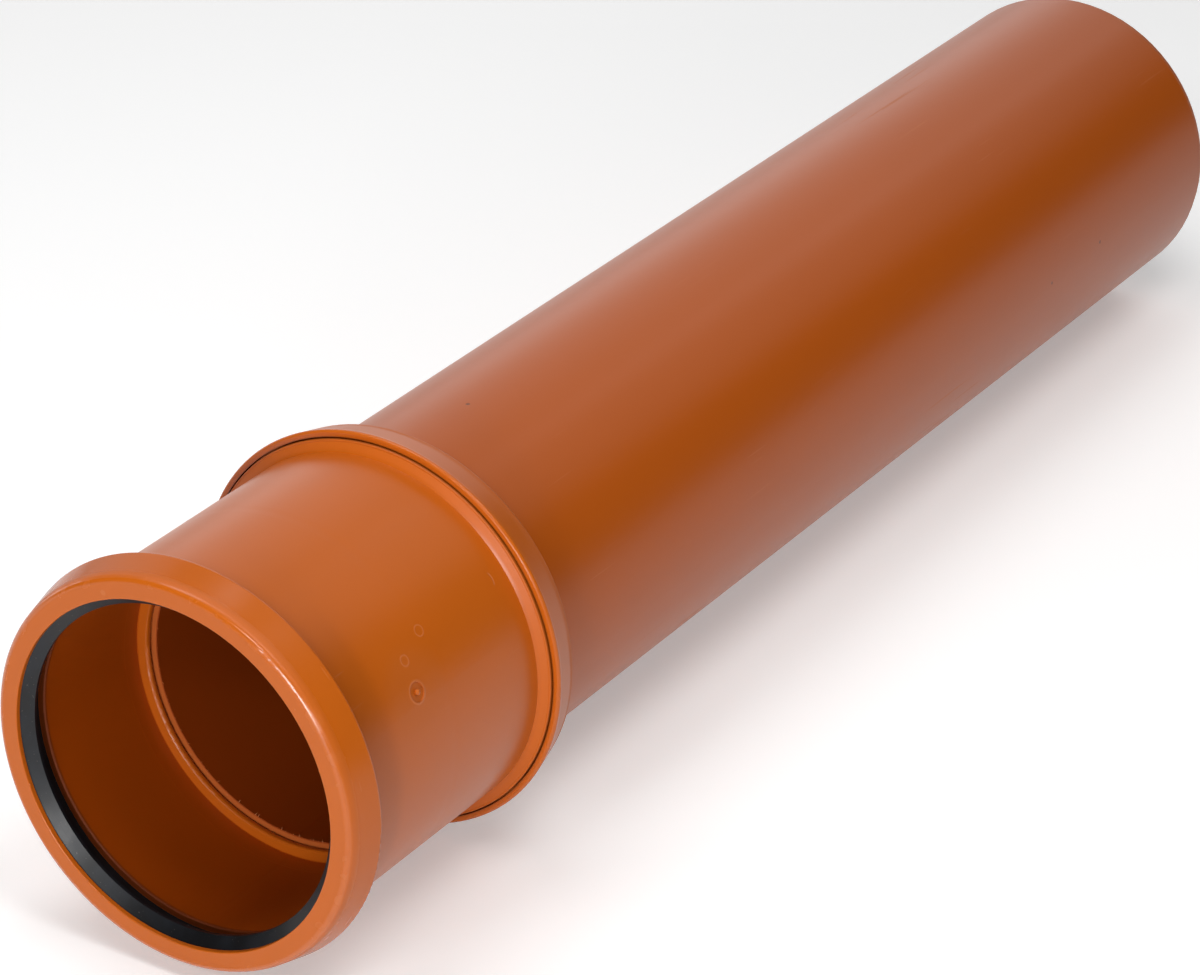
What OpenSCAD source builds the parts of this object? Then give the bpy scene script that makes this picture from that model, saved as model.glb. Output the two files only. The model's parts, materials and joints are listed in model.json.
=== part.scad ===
// Sewer pipe of polypropylene: a plain-ended pipe with a push-on coupler on one end.
// The coupler's free half is the socket for the next pipe. A clip-on ring on each end
// of the coupler holds a rubber lip seal in its chamber. Millimetres, +Z up.
// The pipe lies on the floor along X, with the socket's mouth towards -X.

/* [Pipe] */
// Outside diameter of the pipe
pipe_od = 110; // [90:1:130]
// Wall thickness of the pipe
pipe_wall = 5.3; // [3.5:0.1:7]
// Length that one pipe adds to a line, from the stop in its socket to its free end
laying_length = 500; // [250:10:1000]
// Length of the chamfer on the free end
spigot_chamfer_length = 3; // [1:0.5:6]
// Depth of the chamfer on the free end
spigot_chamfer_depth = 1; // [0.4:0.1:2]

/* [Coupler] */
// Length of the coupler over both rings
coupler_length = 116; // [90:1:160]
// Wall thickness of the coupler's barrel
coupler_wall = 3.6; // [2.5:0.1:5]
// Room between the pipe and the coupler's bore, on each side
socket_clearance = 0.2; // [0.1:0.05:0.4]
// Thickness of the stop rib
stop_rib_width = 2.4; // [2:0.1:4]
// Rounding of the stop rib's edge
stop_rib_round = 0.9; // [0.3:0.1:0.9]
// Height of the stop rib inside the bore
stop_rib_height = 3.7; // [1.5:0.1:4.5]
// Room between the stop rib and the pipe's sawn end
pipe_end_gap = 0.4; // [0.1:0.1:0.9]
// Place of the moulding gate along the coupler, as a share of its length
gate_share = 0.394; // [0.3:0.001:0.44]
// Turn of the moulding gate from the top towards the near side
gate_turn = 66.5; // [0:0.5:180]
// Width of the dish round the gate
gate_width = 6; // [4.5:0.1:8]
// Depth of that dish
gate_depth = 0.45; // [0.3:0.05:0.8]
// Width of the nub that the cut sprue leaves in the dish
gate_nub = 1.8; // [1.2:0.1:2.5]
// Distance by which the nub stays below the barrel
gate_nub_setback = 0.05; // [0.02:0.01:0.15]

/* [Seal chamber] */
// Depth of the seal's chamber outside the bore
chamber_depth = 5.1; // [4.5:0.1:7]
// Wall of the collar round the chamber
collar_wall = 1.3; // [1.1:0.1:2]
// Distance from the coupler's end to the back of the flange's rim
flange_back = 13.2; // [12.5:0.1:16]
// Distance by which the flange slopes back from its rim to the barrel
flange_slope = 1.6; // [1:0.1:2.5]
// Thickness of the flange where it meets the barrel
flange_web = 2.3; // [1.8:0.1:2.8]
// Width of the rim on the outside of the flange
rim_width = 3.3; // [2.6:0.1:4]
// Height of that rim above the collar
rim_height = 0.7; // [0.4:0.1:1.2]
// Chamfer that leads a pipe from the chamber into the bore
lead_in = 0.4; // [0.3:0.1:2]
// Rounding of the rim's edge
rim_round = 0.5; // [0.2:0.1:0.8]

/* [Retaining ring] */
// Room between the pipe and the ring's mouth, on each side
mouth_clearance = 0.5; // [0.3:0.1:1]
// Thickness of the ring's front wall
ring_front = 1.6; // [1.2:0.1:2.6]
// Distance by which the ring's skirt stays short of the flange's back
skirt_setback = 0.7; // [0.3:0.1:1.5]
// Thickness of the ring's skirt at its back edge
skirt_wall = 2; // [1.4:0.1:2.5]
// Distance from the ring's inner wall in to where its end face starts to round
shoulder_inset = 1.45; // [1.2:0.05:1.8]
// Rounding between the end face and the ring's tapered outside
face_round = 2.2; // [2:0.1:3]
// Rounding of the ring's back edge
back_round = 0.9; // [0.4:0.1:1.1]
// Rounding of the edge of the mouth
mouth_round = 0.4; // [0.2:0.1:0.8]
// Width of the open groove between the rim and the ring's skirt
groove_width = 0.5; // [0.3:0.1:1.2]
// Radius of the snap bead that holds the ring on its collar
snap_bead = 0.6; // [0.3:0.1:0.9]
// Room between the ring and the collar
clip_gap = 0.15; // [0.05:0.05:0.3]

/* [Seal] */
// Thickness of the seal's base
seal_base = 2.9; // [2:0.1:3.6]
// Height of the seal's heel below the base
seal_heel = 1.2; // [0.8:0.1:1.6]
// Thickness of the lip where it leaves the base
lip_root = 2.9; // [2:0.1:3.4]
// Distance from the ring's front wall to the tip of the lip
lip_reach = 4; // [3.6:0.1:6]
// Depth by which a pipe squeezes the lip on each side
lip_squeeze = 2.6; // [0.8:0.1:3]
// Width of the lip's contact band when it hangs free
lip_land = 1; // [0.6:0.1:1.5]
// Width of the lip's contact band on the pipe
pressed_land = 3; // [2:0.1:3.8]
// Thickness of the lip at its tip
lip_tip = 0.8; // [0.5:0.1:1.2]
// Room round the seal in its chamber
seal_gap = 0.05; // [0.02:0.01:0.1]

/* [Hidden] */

$fn = 96;
// Overrun of every cut past the face that it opens
overrun = 1;

pipe_orange = [0.66, 0.33, 0.17];
coupler_orange = [0.74, 0.37, 0.17];
seal_black = [0.09, 0.09, 0.10];

// Radii, from the pipe outwards
pipe_r = pipe_od / 2;
pipe_bore_r = pipe_r - pipe_wall;
spigot_end_r = pipe_r - spigot_chamfer_depth;
bore_r = pipe_r + socket_clearance;
barrel_r = bore_r + coupler_wall;
rib_r = bore_r - stop_rib_height;
chamber_r = bore_r + chamber_depth;
collar_r = chamber_r + collar_wall;
rim_r = collar_r + rim_height;
mouth_r = pipe_r + mouth_clearance;
clip_r = collar_r + clip_gap;
face_r = clip_r - shoulder_inset;
skirt_r = rim_r + groove_width;
ring_r = skirt_r + skirt_wall;
seal_r = chamber_r - seal_gap;
seal_base_r = seal_r - seal_base;
heel_r = seal_base_r - seal_heel;
lip_free_r = pipe_r - lip_squeeze;
lip_pressed_r = pipe_r + seal_gap;

// Places along the axis, from the socket's mouth
rib_middle = coupler_length / 2;
stop_face = rib_middle - stop_rib_width / 2;
rib_back = rib_middle + stop_rib_width / 2;
pipe_start = rib_back + pipe_end_gap;
pipe_end = stop_face + laying_length;
gate_place = gate_share * coupler_length;
chamfer_start = pipe_end - spigot_chamfer_length;
chamber_floor = flange_back + flange_slope - flange_web;
bore_edge = chamber_floor + lead_in;
collar_front = ring_front + clip_gap;
rim_front = flange_back - rim_width;
ring_length = flange_back - skirt_setback;
bead_place = (collar_front + rim_front) / 2;
seal_front_face = ring_front + seal_gap;
seal_back_face = chamber_floor - seal_gap;
lip_place = ring_front + lip_reach;

// The ring's outside is a straight taper, tangent to the roundings at its two ends
face_centre = [face_r, face_round];
back_centre = [ring_r - back_round, ring_length - back_round];
taper_run = back_centre - face_centre;
taper_turn = atan2(taper_run[1], taper_run[0]) - acos((face_round - back_round) / norm(taper_run));
taper_normal = [cos(taper_turn), sin(taper_turn)];

// The pipe rests on the rear ring's rounded edge and on its own free end
rest_place = coupler_length - back_centre[1];
rest_run = [chamfer_start - rest_place, back_centre[0] - pipe_r];
lie_angle = atan2(rest_run[1], rest_run[0]) + asin(back_round / norm(rest_run));
axis_height = rest_place * sin(lie_angle) + back_centre[0] * cos(lie_angle) + back_round;
axis_reach = pipe_end * cos(lie_angle) + (spigot_end_r - face_r) * sin(lie_angle);

// Lays a piece that is drawn along Z, mouth at zero, on the floor
module lying() {
    translate([-axis_reach / 2, 0, axis_height])
        rotate([0, 90 + lie_angle, 0]) children();
}

// Turns a profile, drawn as radius and place along the axis, into a piece that lies on the floor
module lying_turned() {
    lying() rotate_extrude() children();
}

// Carries a profile drawn at the mouth to the coupler's rear end
module at_rear() {
    translate([0, coupler_length]) mirror([0, 1]) children();
}

// A ring of profile between two radii and two places along the axis
module band(r_inner, r_outer, from, to) {
    translate([r_inner, from]) square([r_outer - r_inner, to - from]);
}

// What a rounding takes off a convex corner that points towards +radius and +axis
module corner_waste(round) {
    difference() {
        translate([-round, -round]) square(round + overrun);
        translate([-round, -round]) circle(round);
    }
}

module pipe_profile() {
    polygon([
        [pipe_bore_r, pipe_start],
        [pipe_r, pipe_start],
        [pipe_r, chamfer_start],
        [spigot_end_r, pipe_end],
        [pipe_bore_r, pipe_end],
    ]);
}

// Outline of the front end, from the bore out round the seal's chamber and back to the barrel
chamber_outline = [
    [bore_r, bore_edge],
    [bore_r + lead_in, chamber_floor],
    [chamber_r, chamber_floor],
    [chamber_r, collar_front],
    [collar_r, collar_front],
    [collar_r, rim_front],
    [rim_r, rim_front],
    [rim_r, flange_back],
    [collar_r, flange_back],
    [barrel_r, flange_back + flange_slope],
];
rear_outline = [for (i = [len(chamber_outline) - 1:-1:0])
    [chamber_outline[i][0], coupler_length - chamber_outline[i][1]]];

// The rib in the middle of the bore stops a pipe from either side
rib_outline = [
    [bore_r, rib_back],
    [rib_r, rib_back],
    [rib_r, stop_face],
    [bore_r, stop_face],
];

// What the roundings and the snap groove take off one end
module half_coupler_cuts() {
    translate([rim_r, flange_back]) corner_waste(rim_round);
    translate([clip_r, bead_place]) circle(snap_bead + clip_gap);
    translate([rib_r, stop_face]) rotate(180) corner_waste(stop_rib_round);
}

module coupler_profile() {
    difference() {
        polygon(concat(chamber_outline, rear_outline, rib_outline));
        half_coupler_cuts();
        at_rear() half_coupler_cuts();
    }
}

// What the moulding gate takes off the barrel: a round dish, with the sprue's nub left standing in it
module gate_cut() {
    rotate(180 + gate_turn)
        translate([barrel_r - gate_depth, 0, gate_place])
            rotate([0, 90, 0])
                difference() {
                    cylinder(d = gate_width, h = gate_depth + overrun);
                    cylinder(d = gate_nub, h = gate_depth - gate_nub_setback);
                }
}

// Clip-on ring: flat end face, rounded shoulder, tapered skirt and an inner snap bead
module ring_profile() {
    difference() {
        union() {
            polygon([
                [mouth_r, 0],
                [face_r, 0],
                face_centre + face_round * taper_normal,
                back_centre + back_round * taper_normal,
                back_centre + [0, back_round],
                [mouth_r, ring_length],
            ]);
            translate(face_centre) circle(face_round);
            translate(back_centre) circle(back_round);
        }
        band(mouth_r - overrun, clip_r, ring_front, ring_length + overrun);
        band(mouth_r - overrun, skirt_r, rim_front - clip_gap, ring_length + overrun);
        translate([mouth_r, 0]) rotate(180) corner_waste(mouth_round);
    }
    translate([clip_r, bead_place]) circle(snap_bead);
}

// Rubber ring: a base that fills the chamber and a lip that leans into the socket
module seal_profile(tip_r, land) {
    polygon([
        [seal_r, seal_front_face],
        [heel_r, seal_front_face],
        [tip_r, lip_place - land],
        [tip_r, lip_place],
        [tip_r + lip_tip, lip_place],
        [seal_base_r, seal_front_face + lip_root],
        [seal_base_r, seal_back_face],
        [seal_r, seal_back_face],
    ]);
}

module pipe() {
    color(pipe_orange) lying_turned() pipe_profile();
}

module coupler() {
    color(coupler_orange)
        difference() {
            lying_turned() coupler_profile();
            lying() gate_cut();
        }
}

module retaining_ring_front() {
    color(coupler_orange) lying_turned() ring_profile();
}

module retaining_ring_rear() {
    color(coupler_orange) lying_turned() at_rear() ring_profile();
}

module seal_front() {
    color(seal_black) lying_turned() seal_profile(lip_free_r, lip_land);
}

module seal_rear() {
    color(seal_black) lying_turned() at_rear() seal_profile(lip_pressed_r, pressed_land);
}

pipe();
coupler();
retaining_ring_front();
retaining_ring_rear();
seal_front();
seal_rear();
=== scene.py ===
# Sewer pipe of polypropylene with a push-on coupler on one end, lying on a white studio floor.
import json
import math

import bpy
from mathutils import Matrix, Vector


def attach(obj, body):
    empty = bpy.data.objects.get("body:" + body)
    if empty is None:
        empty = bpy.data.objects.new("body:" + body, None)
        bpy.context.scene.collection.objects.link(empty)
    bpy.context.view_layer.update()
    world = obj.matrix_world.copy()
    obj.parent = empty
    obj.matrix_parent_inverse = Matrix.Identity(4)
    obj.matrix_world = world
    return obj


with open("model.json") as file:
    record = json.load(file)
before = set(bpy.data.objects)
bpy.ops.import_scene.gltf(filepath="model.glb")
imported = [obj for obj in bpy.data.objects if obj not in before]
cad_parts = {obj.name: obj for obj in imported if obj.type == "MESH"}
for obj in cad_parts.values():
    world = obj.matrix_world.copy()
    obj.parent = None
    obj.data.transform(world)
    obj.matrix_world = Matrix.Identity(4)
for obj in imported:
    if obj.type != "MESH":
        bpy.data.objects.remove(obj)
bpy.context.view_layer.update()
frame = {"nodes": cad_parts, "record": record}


# The pipe is extruded polypropylene. The die and the cooling sleeve leave faint lines along it,
# handling leaves specks and short scuffs, and both ends are cut: one sawn, one turned to a chamfer.
mounts = {mount["name"]: mount for mount in frame["record"]["mounts"]}
bore_mount = mounts["pipe_bore"]
axis = Vector(bore_mount["axis"])
mouth = Vector(mounts["mouth_face"]["pos_m"]) * Vector((1, 0, 1))
lie = math.atan2(-axis.z, axis.x)
pipe_middle = (Vector(bore_mount["pos_m"]) - mouth).dot(axis)
pipe_length = bore_mount["dims"]["length_mm"] / 1000
pipe_bore = bore_mount["dims"]["r_mm"] / 1000
pipe_radius = mounts["spigot"]["dims"]["r_mm"] / 1000
sawn_place = pipe_middle - pipe_length / 2
free_place = pipe_middle + pipe_length / 2
chamfer_length = 0.003
chamfer_place = free_place - chamfer_length
cut_blur = 0.0002
bore_edge = (pipe_bore + 0.0002, pipe_bore + 0.0006)
# Each speck's place along the pipe, its turn in degrees and its size.
speck_spots = [(0.1536, -0.9, 0.0009), (0.4731, 87.5, 0.0008), (0.4364, 89.4, 0.0007)]
spot_core_share = 0.55
relief_unit = 0.00001
pipe_orange = (0.43, 0.085, 0.005, 1)
pipe_bore_shade_orange = (0.295, 0.046, 0.003, 1)
pipe_cut_orange = (0.47, 0.108, 0.018, 1)
speck_brown = (0.10, 0.030, 0.010, 1)
scuff_pale = (0.56, 0.20, 0.09, 1)


class Strand:
    """An output in a node tree. Arithmetic on strands adds Math nodes, and node() adds any other."""

    def __init__(self, tree, socket=None):
        self.tree = tree
        self.socket = socket

    def __getitem__(self, output):
        return Strand(self.tree, self.socket.node.outputs[output])

    def node(self, kind, settings=None, sockets=None, output=0):
        """Adds a node: first its settings, then a value or a strand for each of its sockets."""
        made = self.tree.nodes.new(kind)
        for name, value in (settings or {}).items():
            setattr(made, name, value)
        for name, value in (sockets or {}).items():
            if isinstance(value, Strand):
                self.tree.links.new(value.socket, made.inputs[name])
            else:
                made.inputs[name].default_value = value
        return Strand(self.tree, made.outputs[output] if made.outputs else None)

    def math(self, operation, *terms):
        return self.node("ShaderNodeMath", {"operation": operation}, dict(enumerate(terms)))

    def __add__(self, other):
        return self.math("ADD", self, other)

    def __radd__(self, other):
        return self.math("ADD", other, self)

    def __sub__(self, other):
        return self.math("SUBTRACT", self, other)

    def __rsub__(self, other):
        return self.math("SUBTRACT", other, self)

    def __mul__(self, other):
        return self.math("MULTIPLY", self, other)

    def __rmul__(self, other):
        return self.math("MULTIPLY", other, self)

    def __truediv__(self, other):
        return self.math("DIVIDE", self, other)

    def __rtruediv__(self, other):
        return self.math("DIVIDE", other, self)

    def __abs__(self):
        return self.math("ABSOLUTE", self)

    def rise(self, low, high):
        """0 up to low, 1 from high on, and a smooth rise between them."""
        settings = {"interpolation_type": "SMOOTHSTEP"}
        return self.node("ShaderNodeMapRange", settings, {"Value": self, "From Min": low, "From Max": high})

    def band(self, middle, near, far):
        """1 where this strand is within near of the middle, 0 from far on."""
        return 1 - abs(self - middle).rise(near, far)

    def vector(self, operation, *terms, output=0):
        return self.node("ShaderNodeVectorMath", {"operation": operation}, dict(enumerate(terms)), output)

    def scaled(self, amount):
        """This vector or colour times a number."""
        return self.node("ShaderNodeVectorMath", {"operation": "SCALE"}, {"Vector": self, "Scale": amount})

    def parts(self):
        """This vector taken apart, for its X, Y and Z."""
        return self.node("ShaderNodeSeparateXYZ", sockets={"Vector": self})

    def tint(self, colour, other):
        """Two colours mixed by this strand."""
        sockets = {"Factor": self, 6: colour, 7: other}
        return self.node("ShaderNodeMix", {"data_type": "RGBA"}, sockets, output=2)


def new_finish(name):
    """A material, and the loose strand that its nodes start from."""
    finish = bpy.data.materials.new(name)
    finish.use_nodes = True
    finish.node_tree.nodes.clear()
    return finish, Strand(finish.node_tree)


def end_finish(start, colour, dullness, height, gloss, polish=None):
    """Ends a finish: its colour, roughness, height in relief units, specular level and any coat."""
    relief = {"Strength": 1.0, "Distance": relief_unit, "Height": height}
    surface = start.node("ShaderNodeBsdfPrincipled", sockets={
        "Base Color": colour,
        "Roughness": dullness,
        "Specular IOR Level": gloss,
        "Normal": start.node("ShaderNodeBump", sockets=relief),
        **(polish or {}),
    })
    start.node("ShaderNodeOutputMaterial", sockets={"Surface": surface})


def turned_place(start):
    """Where a point lies on the turned pieces, in metres: X along the axis from the mouth, Z up."""
    place = start.node("ShaderNodeTexCoord", output="Object")
    turned = {"Vector": place, "Location": mouth, "Rotation": (0, lie, 0)}
    return start.node("ShaderNodeMapping", {"vector_type": "TEXTURE"}, turned)


def from_axis(place):
    """Distance of a point from the axis, in metres."""
    return place.vector("LENGTH", place.vector("MULTIPLY", place, (0, 1, 1)), output="Value")


def grain(place, along, across, detail=2.0, roughness=0.5):
    """Noise with so many features to the metre along the axis and across it, from 0 to 1."""
    stretched = {"Vector": place, "Scale": (along, across, across)}
    vector = place.node("ShaderNodeMapping", {"vector_type": "POINT"}, stretched)
    sockets = {"Vector": vector, "Scale": 1.0, "Detail": detail, "Roughness": roughness}
    return place.node("ShaderNodeTexNoise", {"noise_dimensions": "3D"}, sockets)


def gap_to(place, along, turn, radius):
    """Distance to one point of a turned surface. Turn is in degrees from the top towards the near side."""
    angle = math.radians(turn)
    point = (along, -radius * math.sin(angle), radius * math.cos(angle))
    return place.vector("DISTANCE", place, point, output="Value")


def spot(place, along, turn, radius, size):
    """1 at one point of a turned surface, 0 from size on."""
    return 1 - gap_to(place, along, turn, radius).rise(size * spot_core_share, size)


pipe_finish, start = new_finish("extruded_pipe_orange")
place = turned_place(start)
along = place.parts()["X"]
sleeve_bands = grain(place, 0.9, 55, detail=3)
die_lines = grain(place, 1.6, 700, detail=2)
skin = grain(place, 260, 260, detail=3)
cloud = grain(place, 9, 14, detail=4)
scuffs = grain(place, 22, 820, detail=1).rise(0.70, 0.78) * grain(place, 11, 30).rise(0.52, 0.66)
specks = sum(spot(place, speck_along, turn, pipe_radius, size) for speck_along, turn, size in speck_spots)
sawn = 1 - along.rise(sawn_place, sawn_place + cut_blur)
turned_end = along.rise(chamfer_place, chamfer_place + cut_blur)
cut = sawn + turned_end
saw_marks = grain(place, 4, 1500, detail=1) * sawn + grain(place, 2600, 3, detail=1) * turned_end
# The bore is painted darker and redder than the outside, as painted shade inside the pipe.
inside = 1 - from_axis(place).rise(*bore_edge)
shade = 0.955 + 0.05 * sleeve_bands + 0.045 * cloud
colour = inside.tint(cut.tint(pipe_orange, pipe_cut_orange), pipe_bore_shade_orange)
colour = (0.35 * scuffs).tint(colour, scuff_pale)
colour = (0.8 * specks).tint(colour, speck_brown)
dullness = 0.27 + 0.05 * sleeve_bands + 0.03 * skin + 0.18 * scuffs + 0.3 * cut
height = 0.35 * die_lines + 0.3 * skin - 0.8 * scuffs + 6 * saw_marks * cut - 2 * specks
end_finish(start, colour.scaled(shade), dullness, height, gloss=0.28)
frame["nodes"]["pipe"].material_slots[0].material = pipe_finish


# The saw leaves a fringe of torn plastic on the inner edge of the pipe's sawn end, seen behind the stop
# rib. Each burr is a thin curled whisker. Their places and lengths are random, and most are very short.
burr_count, burr_seed = 240, 11
burr_length, burr_width, burr_tip = 0.0010, 0.00040, 0.00002
curl_share = 0.7
burr_pale = (0.62, 0.20, 0.06, 1)
lying = Matrix.Translation(mouth) @ Matrix.Rotation(math.pi / 2 + lie, 4, "Y")


def new_growth(name, inputs):
    """A geometry tree with named inputs, and the strand that gives them."""
    tree = bpy.data.node_groups.new(name, "GeometryNodeTree")
    for label, kind in inputs.items():
        tree.interface.new_socket(label, in_out="INPUT", socket_type=kind)
    tree.interface.new_socket("Geometry", in_out="OUTPUT", socket_type="NodeSocketGeometry")
    return tree, Strand(tree).node("NodeGroupInput")


def arrow(given, **parts):
    """A vector from its X, Y and Z. A part that isn't given is 0."""
    return given.node("ShaderNodeCombineXYZ", sockets=parts)


def chance(given, offset, low, high):
    """A random number from low to high for each point, from the tree's seed."""
    sockets = {2: low, 3: high, "Seed": given["Seed"] + offset}
    return given.node("FunctionNodeRandomValue", {"data_type": "FLOAT"}, sockets, output=1)


def end_growth(given, points, shape, rotation, scale, finish):
    """Ends a tree: a shape on each of its points, made real, in one finish."""
    grown = given.node("GeometryNodeInstanceOnPoints", sockets={
        "Points": points, "Instance": shape, "Rotation": rotation, "Scale": scale})
    grown = given.node("GeometryNodeRealizeInstances", sockets={"Geometry": grown})
    grown = given.node("GeometryNodeSetMaterial", sockets={"Geometry": grown, "Material": finish})
    given.node("NodeGroupOutput", sockets={"Geometry": grown})


def grown_piece(name, tree, values):
    """The plain mesh that a tree makes from these values, laid on the pipe's axis."""
    piece = bpy.data.objects.new(name, bpy.data.meshes.new(name))
    bpy.context.scene.collection.objects.link(piece)
    growth = piece.modifiers.new(name, "NODES")
    growth.node_group = tree
    for socket in tree.interface.items_tree:
        if socket.in_out == "INPUT":
            growth[socket.identifier] = values[socket.name]
    mesh = bpy.data.meshes.new_from_object(piece.evaluated_get(bpy.context.evaluated_depsgraph_get()))
    piece.modifiers.remove(growth)
    mesh.transform(lying)
    piece.data = mesh
    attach(piece, "root")


burr_finish, start = new_finish("torn_burr_orange")
tear = grain(turned_place(start), 3000, 3000, detail=2)
surface = start.node("ShaderNodeBsdfPrincipled", sockets={
    "Base Color": tear.tint(pipe_cut_orange, burr_pale), "Roughness": 0.4 + 0.2 * tear})
start.node("ShaderNodeOutputMaterial", sockets={"Surface": surface})

burr_tree, given = new_growth("saw_burrs", {
    "Edge Radius": "NodeSocketFloat", "Edge Place": "NodeSocketFloat", "Burrs": "NodeSocketInt",
    "Burr Length": "NodeSocketFloat", "Burr Width": "NodeSocketFloat", "Seed": "NodeSocketInt",
})
turn = (given.node("GeometryNodeInputIndex") + chance(given, 0, 0.0, 1.0)) * math.tau / given["Burrs"]
outwards = arrow(given, X=turn.math("COSINE", turn), Y=turn.math("SINE", turn))
edge = given.vector("ADD", outwards.scaled(given["Edge Radius"]), arrow(given, Z=given["Edge Place"]))
roots = given.node("GeometryNodePoints", sockets={"Count": given["Burrs"], "Position": edge})
whisker = given.node("GeometryNodeMeshCone", sockets={
    "Vertices": 6, "Side Segments": 5, "Radius Top": burr_tip, "Radius Bottom": given["Burr Width"] / 2,
    "Depth": given["Burr Length"]})
up = given.node("GeometryNodeInputPosition").parts()["Z"]
curl = arrow(given, X=curl_share * up * up / given["Burr Length"])
whisker = given.node("GeometryNodeSetPosition", sockets={"Geometry": whisker, "Offset": curl})
lean = given.vector("SUBTRACT", arrow(given, Z=chance(given, 1, -0.9, 0.1)), outwards)
stance = given.node("FunctionNodeAlignRotationToVector", {"axis": "Z"}, {"Vector": lean})
share = chance(given, 2, 0.25, 1.0)
end_growth(given, roots, whisker, stance, share * share * share, burr_finish)
grown_piece("saw_burrs", burr_tree, {
    "Edge Radius": pipe_bore, "Edge Place": sawn_place, "Burrs": burr_count,
    "Burr Length": burr_length, "Burr Width": burr_width, "Seed": burr_seed})


# The coupler is moulded in one shot through a gate in its barrel, and is smoother than the pipe. Its wall
# has sunk a little over the stop rib inside, and the melt has left a dull bloom round the gate. Painted
# shade falls on the barrel beside the front ring as the ring's shadow, further on the near side, and inside
# the bore, with a painted shadow of the seal's lip at its mouth. The flange is matt and painted a little
# lighter, painted shade darkens its rim at the groove by the rear ring, and the gate's ridge and the insert
# marks are painted paler as highlights.
coupler_length = 0.116
barrel_radius = 0.0588
gate_along, gate_turn, gate_width = 0.0457, 66.5, 0.0060
ridge_reach, ridge_width = gate_width / 2 + 0.0003, 0.0006
# The radii between which one finish goes over into the next, from the bore outwards.
socket_edge, barrel_edge = (0.0546, 0.0551), (0.0570, 0.0575)
flange_edge, rim_edge = (0.0592, 0.0600), (0.0620, 0.0623)
sink_width, bloom_size = 0.0028, 0.016
core_along, core_width = 0.0505, 0.0004
lip_shadow_along, lip_shadow_width = 0.0128, (0.0003, 0.0012)
ring_shadow_end, near_shadow_end = (0.0122, 0.0260), (0.0270, 0.0335)
near_shadow_turn, near_shadow_sides = math.radians(80), (0.6, 0.9)
nick_along, nick_turn, nick_reach = 0.0910, 52.6, 0.0040
nick_length, nick_width = 0.0026, (0.0001, 0.0004)
# Each round mark of a mould insert: its place along the barrel, turn in degrees, radius and line width.
insert_marks = [(0.0462, 57.0, 0.0016, 0.0005), (0.0573, 52.5, 0.0017, 0.0004)]
coupler_orange = (0.525, 0.110, 0.006, 1)
bloom_orange = (0.50, 0.125, 0.022, 1)
coupler_bore_shade_orange = (0.385, 0.063, 0.002, 1)
mark_highlight_orange = (0.64, 0.21, 0.08, 1)

coupler_finish, start = new_finish("moulded_coupler_orange")
place = turned_place(start)
parts = place.parts()
along = parts["X"]
radius = from_axis(place)
outside = radius.rise(*barrel_edge)
# The flange is painted a little lighter below, as light falls on it, and is also made matt.
flange = radius.rise(*flange_edge)
# Painted shade on the rim beside the groove by the rear ring.
groove_shade = radius.rise(*rim_edge)
bore = radius.rise(*socket_edge) * (1 - outside)
sink = along.band(coupler_length / 2, 0.0, sink_width) * outside
bloom = spot(place, gate_along, gate_turn, barrel_radius, bloom_size) * outside
flow = grain(place, 30, 46, detail=4)
skin = grain(place, 300, 300, detail=3)
scratches = grain(place, 60, 900, detail=1).rise(0.71, 0.78) * grain(place, 25, 25).rise(0.55, 0.7)
nick = gap_to(place, nick_along, nick_turn, barrel_radius).band(nick_reach, *nick_width)
nick = nick * spot(place, nick_along + nick_reach, nick_turn, barrel_radius, nick_length)
core_step = along.band(core_along, 0.0, core_width) * bore
# Painted shadow of the seal's lip on the bore just inside the mouth, which is also made rougher there.
lip_shadow = along.band(lip_shadow_along, *lip_shadow_width) * bore
# Painted shadow of the front ring on the barrel beside it, reaching further along on the near side below.
ring_shadow = (1 - along.rise(*ring_shadow_end)) * outside
facing = (math.cos(near_shadow_turn) * parts["Z"] - math.sin(near_shadow_turn) * parts["Y"]) / radius
near_shadow = (1 - along.rise(*near_shadow_end)) * facing.rise(*near_shadow_sides) * outside
ridge = gap_to(place, gate_along, gate_turn, barrel_radius).band(ridge_reach, 0.0, ridge_width)
inserts = sum(gap_to(place, mark_along, turn, barrel_radius).band(reach, 0.0, line)
              for mark_along, turn, reach, line in insert_marks)
shade = (0.96 + 0.06 * flow + 0.05 * core_step) * (1 - 0.4 * lip_shadow) * (1 - 0.15 * ring_shadow)
shade = shade * (1 - 0.11 * near_shadow) * (1 + 0.06 * flange) * (1 - 0.34 * groove_shade)
# The bore is painted darker and redder than the barrel, as painted shade inside the socket.
colour = bore.tint(coupler_orange, coupler_bore_shade_orange)
colour = (0.45 * bloom * flow).tint(colour, bloom_orange)
# The ridge round the gate and the insert marks are painted paler, as a painted highlight on their raised
# lines.
colour = (0.4 * ridge + 0.4 * inserts).tint(colour, mark_highlight_orange)
colour = (0.3 * scratches + 0.5 * nick).tint(colour, scuff_pale)
dullness = 0.27 + 0.05 * flow + 0.03 * skin + 0.12 * bloom * flow + 0.15 * scratches
dullness = dullness + 0.3 * lip_shadow + 0.14 * flange
height = 0.25 * skin - 2.2 * sink - 0.7 * scratches - 6 * nick + 2 * core_step + 6 * ridge + 3.5 * inserts
end_finish(start, colour.scaled(shade), dullness, height, gloss=0.32)
frame["nodes"]["coupler"].material_slots[0].material = coupler_finish


# The sprue, through which the coupler was filled, is broken off in the gate's dish. A short and uneven
# stub of the same plastic is left on the nub there.
stub_sides = 32
stub_size = 0.001
# The stub's half width and height from foot to shoulder, as shares of its size.
stub_shares = [(0.98, -0.42), (1.00, -0.05), (1.00, 0.22), (0.93, 0.46),
               (0.78, 0.64), (0.55, 0.75), (0.28, 0.80)]
stub_tip_share = 0.81

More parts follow.
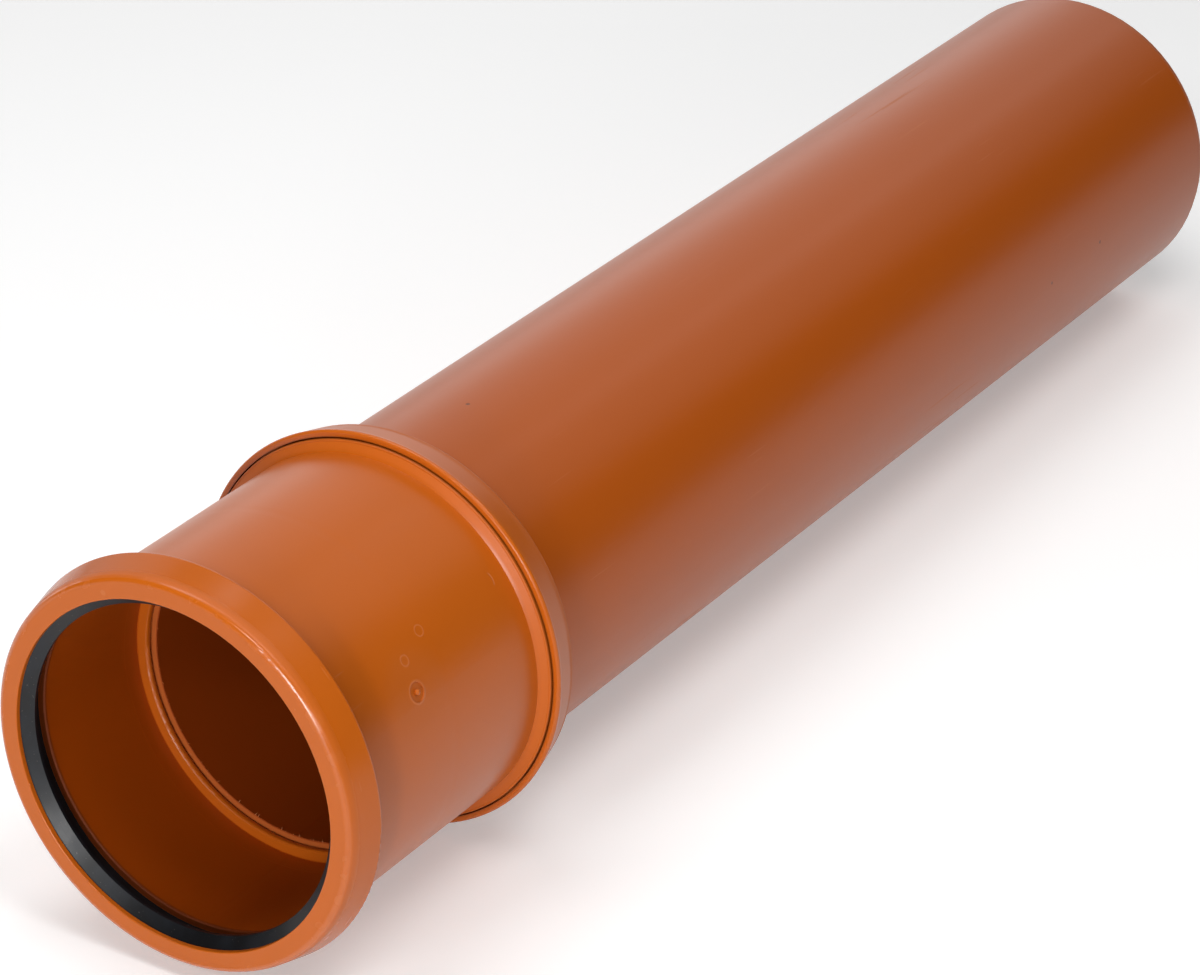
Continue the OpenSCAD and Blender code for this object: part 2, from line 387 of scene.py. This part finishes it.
stub_points, stub_faces = [], []
for width, height in stub_shares:
    for side in range(stub_sides):
        turn = math.tau * side / stub_sides
        reach = width * (1 + 0.05 * math.sin(2 * turn + 0.6) + 0.03 * math.sin(5 * turn))
        rise = height * (1 + 0.1 * math.sin(turn + 2.1) + 0.04 * math.sin(3 * turn))
        stub_points.append(Vector((reach * math.cos(turn), reach * math.sin(turn), rise)) * stub_size)
stub_points.append(Vector((0, 0, stub_tip_share)) * stub_size)
last = (len(stub_shares) - 1) * stub_sides
for side in range(stub_sides):
    beside = (side + 1) % stub_sides
    for low in range(0, last, stub_sides):
        high = low + stub_sides
        stub_faces.append((low + side, low + beside, high + beside, high + side))
    stub_faces.append((last + side, last + beside, len(stub_points) - 1))
stub_faces.append(tuple(reversed(range(stub_sides))))
stub_mesh = bpy.data.meshes.new("sprue_stub")
stub_mesh.from_pydata(stub_points, [], stub_faces)
stub_mesh.shade_smooth()
in_dish = Matrix.Translation((barrel_radius, 0, gate_along)) @ Matrix.Rotation(math.pi / 2, 4, "Y")
stub_mesh.transform(lying @ Matrix.Rotation(math.radians(180 + gate_turn), 4, "Z") @ in_dish)
stub_mesh.materials.append(coupler_finish)
stub = bpy.data.objects.new("sprue_stub", stub_mesh)
bpy.context.scene.collection.objects.link(stub)
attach(stub, "root")


# The seals are moulded from black rubber and lie in the coupler's chambers. A thin wax bloom lies on them
# and greys the lip, the mould has left fine lines round them, and a little dust has settled there.
rubber_black = (0.006, 0.006, 0.007, 1)
rubber_bloom = (0.017, 0.022, 0.031, 1)
dust_grey = (0.22, 0.19, 0.17, 1)

seal_finish, start = new_finish("seal_rubber_black")
place = turned_place(start)
bloom = grain(place, 70, 70, detail=5, roughness=0.62).rise(0.35, 0.8)
mould_lines = grain(place, 2600, 12, detail=2)
skin = grain(place, 900, 900, detail=3)
dust = grain(place, 1500, 1500, detail=1).rise(0.72, 0.8)
colour = (0.6 * bloom).tint(rubber_black, rubber_bloom)
colour = (0.35 * dust).tint(colour, dust_grey)
dullness = 0.30 + 0.12 * bloom + 0.06 * skin
height = 0.6 * mould_lines + 0.5 * skin
end_finish(start, colour, dullness, height, gloss=0.36)
for seal in ("seal_front", "seal_rear"):
    frame["nodes"][seal].material_slots[0].material = seal_finish


# The two retaining rings are moulded in the coupler's plastic and snap over its ends to hold the seals.
# The round of the shoulder is polished and takes the knocks, which leave it paler in places. The edge
# outside it is duller, the tapers are painted darker as shade, and painted shade darkens the rear ring's lip
# at the groove by the coupler.
ring_length = 0.0125
shoulder_radius, outer_radius = 0.0614, 0.0624
# Half the width of each worn, polished, dull or painted-shade band, where it begins to fade and where it
# ends.
polish_width, outer_width = (0.0005, 0.0010), (0.0002, 0.0006)
wear_width, groove_shade_width = (0.0004, 0.0022), (0.0004, 0.0008)
lip_place, lip_edge = coupler_length - ring_length, (0.0629, 0.0633)
rear_taper_start = (lip_place + 0.0009, lip_place + 0.0023)
front_taper_start, front_taper_end = (0.0022, 0.0036), (0.0140, 0.0160)
pip_turn, pip_radius, pip_size = -21.8, 0.0578, 0.0011
ring_orange = (0.55, 0.116, 0.007, 1)
ring_worn_orange = (0.60, 0.17, 0.04, 1)

ring_finish, start = new_finish("moulded_ring_orange")
place = turned_place(start)
along = place.parts()["X"]
radius = from_axis(place)
# Both tapers are painted darker as painted shade; the rear one is also made duller.
rear_taper_shade = along.rise(*rear_taper_start)
front_taper_shade = along.rise(*front_taper_start) * (1 - along.rise(*front_taper_end))
shoulder = radius.band(shoulder_radius, *polish_width)
outer_round = radius.band(outer_radius, *outer_width)
wear = radius.band(shoulder_radius, *wear_width) * grain(place, 90, 130, detail=4).rise(0.55, 0.72)
skin = grain(place, 320, 320, detail=3)
flow = grain(place, 24, 40, detail=4)
hairlines = grain(place, 700, 70, detail=1).rise(0.72, 0.78) * grain(place, 30, 30).rise(0.5, 0.65)
pip = spot(place, 0.0, pip_turn, pip_radius, pip_size)
# Painted shade on the rear ring's lip beside the groove by the coupler's rim.
groove_shade = (1 - radius.rise(*lip_edge)) * along.band(lip_place, *groove_shade_width)
shade = (0.965 + 0.06 * flow) * (1 - 0.14 * rear_taper_shade - 0.08 * front_taper_shade - 0.35 * groove_shade)
colour = (0.22 * wear + 0.25 * hairlines + 0.5 * pip).tint(ring_orange, ring_worn_orange)
dullness = 0.22 + 0.05 * flow + 0.03 * skin + 0.08 * wear + 0.1 * hairlines
dullness = dullness + 0.08 * rear_taper_shade + 0.2 * outer_round
height = 0.2 * skin - 0.6 * hairlines - 0.15 * wear + 3 * pip
polish = {"Coat Weight": 0.6 * shoulder, "Coat Roughness": 0.13}
end_finish(start, colour.scaled(shade), dullness, height, gloss=0.34, polish=polish)
for ring in ("retaining_ring_front", "retaining_ring_rear"):
    frame["nodes"][ring].material_slots[0].material = ring_finish


# Each ring was filled through two gates on opposite sides of its mouth. A twisted-off nub of plastic is
# left at each, and the rear ring, which is the same part turned round, has its two against the pipe.
nub_count, nub_seed = 4, 4
nub_width, nub_depth, nub_turn = 0.0007, 0.0004, 69.5
ring_mouth = 0.0556
torn_share, torn_grain = 0.7, 2600.0

nub_tree, given = new_growth("ring_gate_nubs", {
    "Mouth Radius": "NodeSocketFloat", "Nub Depth": "NodeSocketFloat", "Coupler Length": "NodeSocketFloat",
    "First Turn": "NodeSocketFloat", "Nub Width": "NodeSocketFloat", "Seed": "NodeSocketInt",
})
index = given.node("GeometryNodeInputIndex")
ring = index.math("FLOOR", index / 2)
turn = given["First Turn"] + math.pi * index.math("MODULO", index, 2)
spots = arrow(
    given,
    X=given["Mouth Radius"] * turn.math("COSINE", turn),
    Y=given["Mouth Radius"] * turn.math("SINE", turn),
    Z=given["Nub Depth"] + ring * (given["Coupler Length"] - 2 * given["Nub Depth"]),
)
roots = given.node("GeometryNodePoints", sockets={"Count": nub_count, "Position": spots})
nub = given.node("GeometryNodeMeshUVSphere", sockets={
    "Segments": 16, "Rings": 10, "Radius": given["Nub Width"] / 2})
torn = given.node("ShaderNodeTexNoise", {"noise_dimensions": "4D"}, {
    "Scale": torn_grain, "W": given["Seed"]}, output=1)
torn = given.vector("SUBTRACT", torn, (0.5, 0.5, 0.5)).scaled(given["Nub Width"] * torn_share)
nub = given.node("GeometryNodeSetPosition", sockets={"Geometry": nub, "Offset": torn})
twist = arrow(given, X=chance(given, 1, 0.0, math.tau), Z=turn)
end_growth(given, roots, nub, twist, (1, 1, 1), ring_finish)
grown_piece("ring_gate_nubs", nub_tree, {
    "Mouth Radius": ring_mouth, "Nub Depth": nub_depth, "Coupler Length": coupler_length,
    "First Turn": math.radians(180 + nub_turn), "Nub Width": nub_width, "Seed": nub_seed})


# The studio is a white floor that runs out of sight, with three lamps in front, two on the camera's side,
# two overhead and four pale panels behind. The camera stands in front of the socket, above it and to the
# right of it, as one looks into the mouth.
floor_white = (0.86, 0.86, 0.86, 1)
floor_reach, floor_height, floor_glow = 9.0, -0.0001, 0.3
lamps_aim = Vector((0, 0, 0.07))
air_light = 0.01
camera_place = (-1.16662, -0.70664, 0.77347)
camera_tilt, camera_turn = 61.514, -57.6755
camera_sensor, camera_lens = 36, 140.32

floor_mesh = bpy.data.meshes.new("floor")
corners = [(across * floor_reach, deep * floor_reach, floor_height)
           for across, deep in ((-1, -1), (1, -1), (1, 1), (-1, 1))]
floor_mesh.from_pydata(corners, [], [(0, 1, 2, 3)])
floor = bpy.data.objects.new("floor", floor_mesh)
bpy.context.scene.collection.objects.link(floor)
floor_finish, start = new_finish("studio_white")
matt = start.node("ShaderNodeBsdfDiffuse", sockets={"Color": floor_white})
path = start.node("ShaderNodeLightPath")
seen = path["Is Camera Ray"] + path["Is Glossy Ray"] + path["Is Transmission Ray"]
glow = start.node("ShaderNodeEmission", sockets={"Color": (1, 1, 1, 1), "Strength": floor_glow * seen})
white = start.node("ShaderNodeAddShader", sockets={0: matt, 1: glow})
start.node("ShaderNodeOutputMaterial", sockets={"Surface": white})
floor_mesh.materials.append(floor_finish)


def softbox(name, azimuth, elevation, distance, width, height, watts):
    """An area lamp that faces the pipe's middle from a direction given in degrees."""
    lamp = bpy.data.lights.new(name, "AREA")
    lamp.shape = "RECTANGLE"
    lamp.size, lamp.size_y = width, height
    lamp.energy = watts
    turn, rise = math.radians(azimuth), math.radians(elevation)
    towards = Vector((math.cos(turn) * math.cos(rise), math.sin(turn) * math.cos(rise), math.sin(rise)))
    holder = bpy.data.objects.new(name, lamp)
    holder.location = lamps_aim + towards * distance
    holder.rotation_euler = towards.to_track_quat("Z", "Y").to_euler()
    holder.visible_camera = False
    bpy.context.scene.collection.objects.link(holder)


softbox("front_softbox", 193, 8.5, distance=1.9, width=0.5, height=0.35, watts=11.5)
softbox("front_low_lamp", 199, 8.7, distance=1.85, width=0.2, height=0.16, watts=1.9)
softbox("front_high_lamp", 187, 35, distance=1.9, width=0.34, height=0.2, watts=3.3)
softbox("camera_side_strip", 218, 17, distance=1.9, width=0.7, height=0.17, watts=3.0)
softbox("side_softbox", 245, 15, distance=1.9, width=0.5, height=0.5, watts=1.2)
softbox("overhead_near", 237, 62, distance=1.15, width=0.45, height=0.5, watts=4.4)
softbox("overhead_far", 134, 71, distance=1.07, width=0.4, height=0.8, watts=4.9)
softbox("backdrop", 34, 26, distance=2.4, width=2.85, height=2.14, watts=16.5)
softbox("backdrop_foot", 34, 9, distance=2.35, width=1.5, height=0.7, watts=1.6)
softbox("backdrop_right", -16, 38, distance=2.4, width=1.3, height=1.3, watts=3.6)
softbox("backdrop_left", 85, 9, distance=2.4, width=1.25, height=0.7, watts=5.2)

world = bpy.data.worlds.new("studio_air")
world.use_nodes = True
air = world.node_tree.nodes["Background"].inputs
air["Color"].default_value = (1, 1, 1, 1)
air["Strength"].default_value = air_light
bpy.context.scene.world = world

camera = bpy.data.cameras.new("camera")
camera.sensor_width = camera_sensor
camera.lens = camera_lens
stand = bpy.data.objects.new("camera", camera)
stand.location = camera_place
stand.rotation_euler = (math.radians(camera_tilt), 0, math.radians(camera_turn))
bpy.context.scene.collection.objects.link(stand)
bpy.context.scene.camera = stand
bpy.context.scene.view_settings.view_transform = "Standard"
